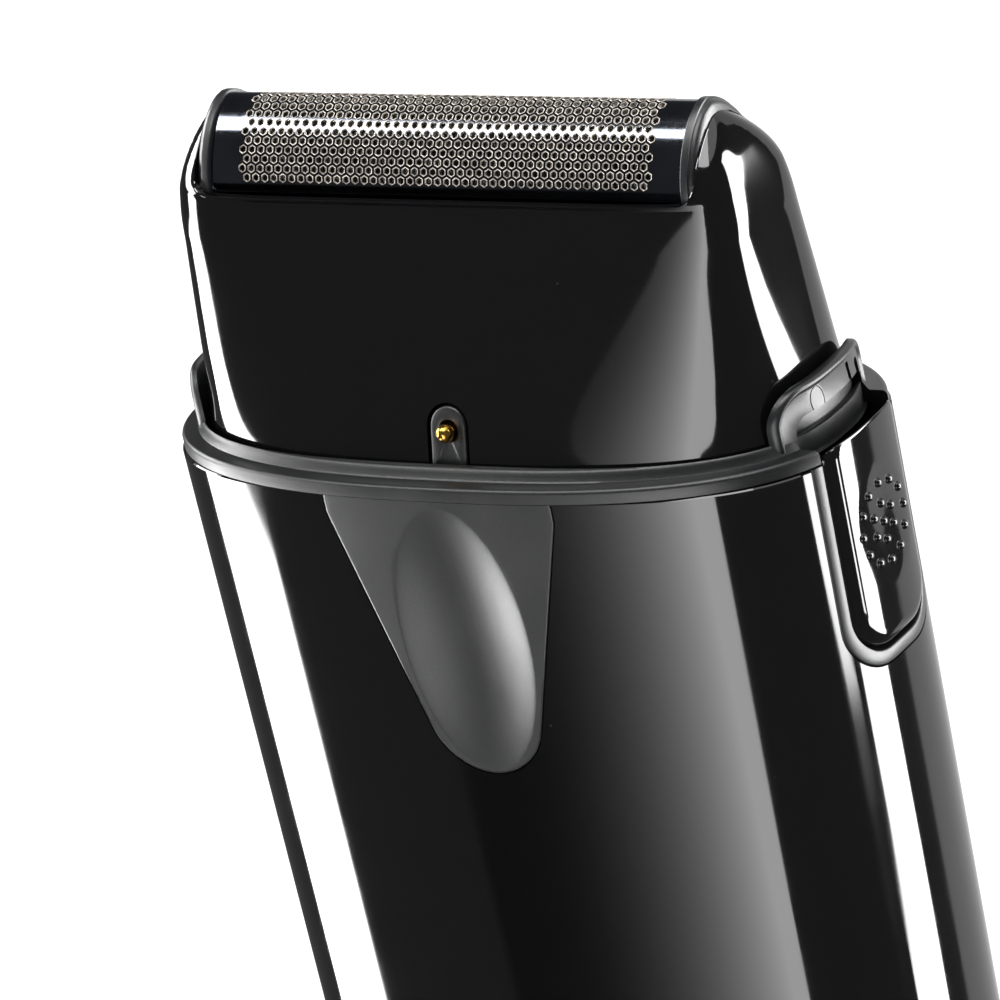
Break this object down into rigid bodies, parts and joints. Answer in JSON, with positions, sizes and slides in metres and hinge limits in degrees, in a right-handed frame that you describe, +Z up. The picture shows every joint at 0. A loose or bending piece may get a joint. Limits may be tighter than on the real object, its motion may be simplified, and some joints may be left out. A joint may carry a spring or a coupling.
{
  "type": "foil shaver",
  "caption": "Slim hand-held foil shaver with an oval gloss case, satin collar with thumb grip, side slide switch and a lift-off head with an arched perforated foil.",
  "frame": {"origin": "middle of the foot's flat face", "axes": "+Z up along the shaver to the foil, -Y towards the thumb grip, +X towards the side switch"},
  "size_m": [0.0623, 0.0306, 0.1111],
  "materials": {
    "gloss_case": "polished injection-moulded ABS, gloss black",
    "satin_black": "fine-grained satin black moulding",
    "seal_rubber": "soft moulded silicone",
    "screw_steel": "zinc-plated steel",
    "frame_plastic": "dark grey moulded plastic",
    "grey_plastic": "light grey acetal",
    "white_plastic": "natural acetal",
    "cell_wrap": "shrink-wrapped cell sleeve",
    "nickel_strip": "nickel-plated strip",
    "board_laminate": "green solder mask",
    "chip_black": "black moulded housing",
    "motor_steel": "drawn plated steel",
    "brass_pin": "turned and polished brass",
    "blade_steel": "ground stainless steel",
    "foil_steel": "electroformed foil, dark blue-grey coating"
  },
  "bodies": {
    "case": {"body_sleeve": "gloss_case", "collar": "satin_black", "base_cap": "satin_black", "base_seal": "seal_rubber", "base_screws": "screw_steel", "chassis": "frame_plastic", "cell_left": "cell_wrap", "cell_right": "cell_wrap", "cell_links": "nickel_strip", "circuit_board": "board_laminate", "board_parts": "chip_black", "charge_socket": "chip_black", "slide_switch": "motor_steel", "motor_can": "motor_steel", "motor_endcap": "white_plastic", "motor_terminals": "brass_pin", "motor_screws": "screw_steel", "deck": "frame_plastic", "deck_screws": "screw_steel", "drive_seal": "seal_rubber", "pin_guide": "nickel_strip", "catch_spring": "screw_steel"},
    "switch": {"switch_slider": "gloss_case", "switch_tang": "frame_plastic"},
    "rotor": {"motor_shaft": "screw_steel", "eccentric": "white_plastic"},
    "bridge": {"drive_bridge": "grey_plastic", "bridge_head": "white_plastic"},
    "cutter": {"cutter_carrier": "chip_black", "cutter_blades": "blade_steel", "cutter_springs": "screw_steel"},
    "head": {"head_shell": "gloss_case", "foil": "foil_steel", "foil_frame": "frame_plastic", "cheek_left": "satin_black", "cheek_right": "satin_black"},
    "catch": {"catch_pin": "brass_pin"}
  },
  "joints": [
    {"name": "switch_slide", "type": "slide", "parent": "case", "child": "switch", "axis": [0, 0, 1], "range_m": [0, 0.002]},
    {"name": "motor_spin", "type": "hinge", "parent": "case", "child": "rotor", "pos_m": [0, 0, 0.06], "axis": [0, 0, 1], "continuous": true},
    {"name": "bridge_stroke", "type": "slide", "parent": "case", "child": "bridge", "axis": [1, 0, 0], "range_m": [-0.0008, 0.0008], "stiffness_N_per_m": 400},
    {"name": "cutter_float", "type": "slide", "parent": "bridge", "child": "cutter", "axis": [0, 0, 1], "range_m": [-0.001, 0], "stiffness_N_per_m": 300, "springref_m": 0.004, "deforming": ["cutter_springs"]},
    {"name": "head_lift", "type": "slide", "parent": "case", "child": "head", "axis": [0, 0, 1], "range_m": [0, 0.032]},
    {"name": "catch_press", "type": "slide", "parent": "case", "child": "catch", "axis": [0, 1, 0], "range_m": [0, 0.0009], "stiffness_N_per_m": 300, "springref_m": -0.003, "deforming": ["catch_spring"]}
  ]
}
